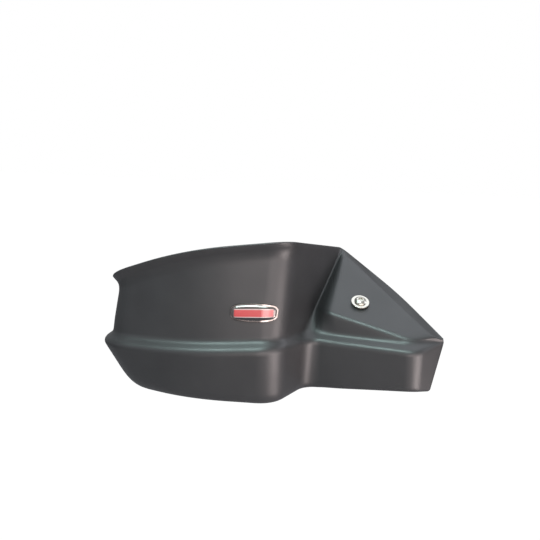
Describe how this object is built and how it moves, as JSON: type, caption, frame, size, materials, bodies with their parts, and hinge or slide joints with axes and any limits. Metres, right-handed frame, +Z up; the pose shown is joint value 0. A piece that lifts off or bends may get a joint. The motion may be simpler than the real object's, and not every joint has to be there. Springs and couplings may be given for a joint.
{
  "type": "motorcycle hand guard",
  "caption": "Moulded hand guard for the right-hand grip, with a wind deflector, a bracket and clamp for the handlebar and a weighted bar-end anchor.",
  "frame": {"origin": "centre of the handlebar clamp's bore, on the bar's axis", "axes": "+X along the bar towards the middle of the motorcycle, -Y forward (the way the motorcycle travels), +Z up"},
  "size_m": [0.2893, 0.1843, 0.1411],
  "materials": {
    "shell_abs": "satin moulded black",
    "stainless": "polished stainless steel",
    "zinc": "zinc plated",
    "rubber": "matt black",
    "powder_coat": "black powder coat",
    "cast_alloy": "as cast",
    "badge_rim": "bright",
    "badge_red": "domed clear resin over red"
  },
  "bodies": {
    "root": {"shell": "shell_abs", "badge_plate": "badge_rim", "badge_dome": "badge_red", "panel_bolt": "stainless", "panel_washer": "stainless", "panel_grommet": "rubber", "panel_collar": "zinc", "panel_nut_washer": "zinc", "panel_nut": "zinc", "bracket": "powder_coat", "bracket_bolt": "zinc", "bracket_washer": "zinc", "clamp_upper": "cast_alloy", "clamp_lower": "cast_alloy", "clamp_liner": "rubber", "clamp_screws": "zinc", "clamp_spring_washers": "zinc", "bar_end_bolt": "stainless", "bar_end_washer": "stainless", "bar_end_grommet": "rubber", "bar_end_weight": "zinc", "bar_end_expander": "rubber", "bar_end_cone_nut": "zinc"}
  },
  "joints": []
}
